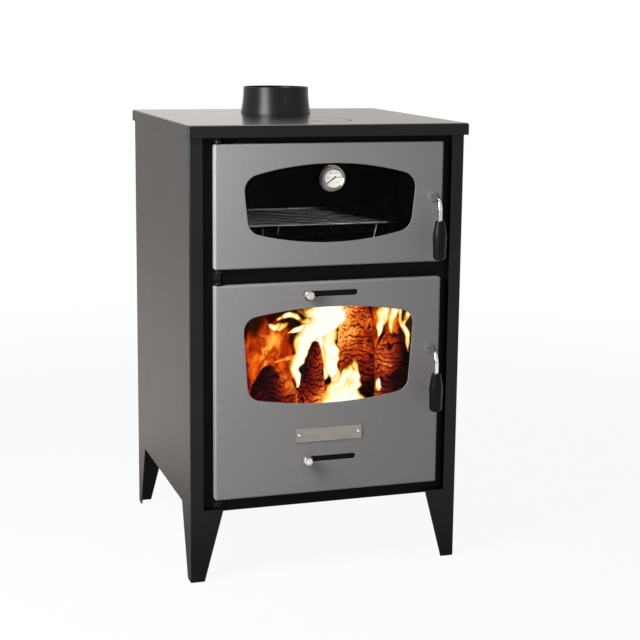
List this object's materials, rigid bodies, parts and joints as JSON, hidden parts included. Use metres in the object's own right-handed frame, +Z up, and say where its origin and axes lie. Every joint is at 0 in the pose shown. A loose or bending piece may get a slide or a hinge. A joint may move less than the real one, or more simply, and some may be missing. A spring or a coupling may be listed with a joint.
{
  "type": "wood cookstove with oven",
  "caption": "Free-standing sheet-steel wood cookstove: windowed oven door over a windowed firebox door, lift-out hotplate, flue collar, splayed legs cut from the side sheets.",
  "frame": {"origin": "on the floor, below the middle of the part's bounding box", "axes": "+Z up, doors face -Y, +X to the right as seen from the front"},
  "size_m": [0.488, 0.5206, 0.82],
  "materials": {
    "black_paint": "satin heat-proof paint",
    "grey_paint": "metallic grey heat-proof paint",
    "bare_steel": "bare mild steel, heat darkened",
    "galvanised_steel": "galvanised sheet",
    "cast_iron": "black cast iron",
    "firebrick": "fired clay",
    "ceramic_glass": "clear heat-proof glass",
    "chrome": "bright plated",
    "brushed_steel": "brushed",
    "black_bakelite": "moulded, satin",
    "glass_rope": "knitted glass-fibre rope",
    "dial_white": "white enamel",
    "needle_black": "black"
  },
  "bodies": {
    "stove_body": {"left_side_panel": "black_paint", "right_side_panel": "black_paint", "rear_panel": "black_paint", "base_plate": "black_paint", "front_frame": "black_paint", "cooktop": "black_paint", "hotplate_seat": "black_paint", "flue_collar": "black_paint", "inner_left_wall": "bare_steel", "inner_right_wall": "bare_steel", "smoke_wall": "bare_steel", "oven_floor": "bare_steel", "oven_roof": "bare_steel", "oven_back": "bare_steel", "hearth_plate": "bare_steel", "fire_grate": "cast_iron", "left_firebricks": "firebrick", "right_firebricks": "firebrick", "rear_firebricks": "firebrick", "log_guard": "bare_steel", "hinge_brackets": "black_paint", "hinge_pins": "bare_steel"},
    "hotplate": {"hotplate_lid": "black_paint"},
    "rack": {"oven_rack": "chrome", "rack_legs": "chrome"},
    "pan": {"ash_pan": "galvanised_steel", "ash_pan_handle": "galvanised_steel"},
    "oven_door": {"oven_door_panel": "grey_paint", "oven_door_rim": "bare_steel", "oven_door_seal": "glass_rope", "oven_glass": "ceramic_glass", "oven_glass_clips": "bare_steel", "oven_hinge_blocks": "bare_steel", "oven_handle_bush": "grey_paint", "thermometer_case": "brushed_steel", "thermometer_bezel": "chrome", "thermometer_dial": "dial_white", "thermometer_lens": "ceramic_glass", "thermometer_nut": "galvanised_steel"},
    "needle": {"thermometer_needle": "needle_black"},
    "oven_handle": {"oven_handle_rod": "chrome", "oven_handle_grip": "black_bakelite", "oven_latch_tongue": "bare_steel"},
    "fire_door": {"fire_door_panel": "grey_paint", "fire_door_rim": "bare_steel", "fire_door_seal": "glass_rope", "fire_glass": "ceramic_glass", "fire_glass_clips": "bare_steel", "fire_hinge_blocks": "bare_steel", "fire_handle_bush": "grey_paint", "air_slide_guides": "bare_steel", "name_plate": "brushed_steel"},
    "fire_handle": {"fire_handle_rod": "chrome", "fire_handle_grip": "black_bakelite", "fire_latch_tongue": "bare_steel"},
    "upper_air_slide": {"upper_slide_plate": "bare_steel", "upper_slide_knob": "chrome"},
    "lower_air_slide": {"lower_slide_plate": "bare_steel", "lower_slide_knob": "chrome"}
  },
  "joints": [
    {"name": "oven_door_hinge", "type": "hinge", "parent": "stove_body", "child": "oven_door", "pos_m": [-0.1925, -0.20575, 0.6385], "axis": [0, 0, -1], "range_deg": [0, 110]},
    {"name": "fire_door_hinge", "type": "hinge", "parent": "stove_body", "child": "fire_door", "pos_m": [-0.1925, -0.20575, 0.32625], "axis": [0, 0, -1], "range_deg": [0, 110]},
    {"name": "oven_handle_turn", "type": "hinge", "parent": "oven_door", "child": "oven_handle", "pos_m": [0.18, -0.21175, 0.648], "axis": [0, 1, 0], "range_deg": [-35, 90]},
    {"name": "fire_handle_turn", "type": "hinge", "parent": "fire_door", "child": "fire_handle", "pos_m": [0.18, -0.21175, 0.385], "axis": [0, 1, 0], "range_deg": [-35, 90]},
    {"name": "upper_air_slide", "type": "slide", "parent": "fire_door", "child": "upper_air_slide", "axis": [1, 0, 0], "range_m": [0, 0.082]},
    {"name": "lower_air_slide", "type": "slide", "parent": "fire_door", "child": "lower_air_slide", "axis": [1, 0, 0], "range_m": [0, 0.082]},
    {"name": "hotplate_lift", "type": "slide", "parent": "stove_body", "child": "hotplate", "axis": [0, 0, 1], "range_m": [0, 0.12]},
    {"name": "needle_turn", "type": "hinge", "parent": "oven_door", "child": "needle", "pos_m": [0, -0.21835, 0.683], "axis": [0, 1, 0], "range_deg": [-10, 260]},
    {"name": "rack_slide", "type": "slide", "parent": "stove_body", "child": "rack", "axis": [0, -1, 0], "range_m": [0, 0.04]},
    {"name": "ash_pan_slide", "type": "slide", "parent": "stove_body", "child": "pan", "axis": [0, -1, 0], "range_m": [0, 0.03]}
  ]
}
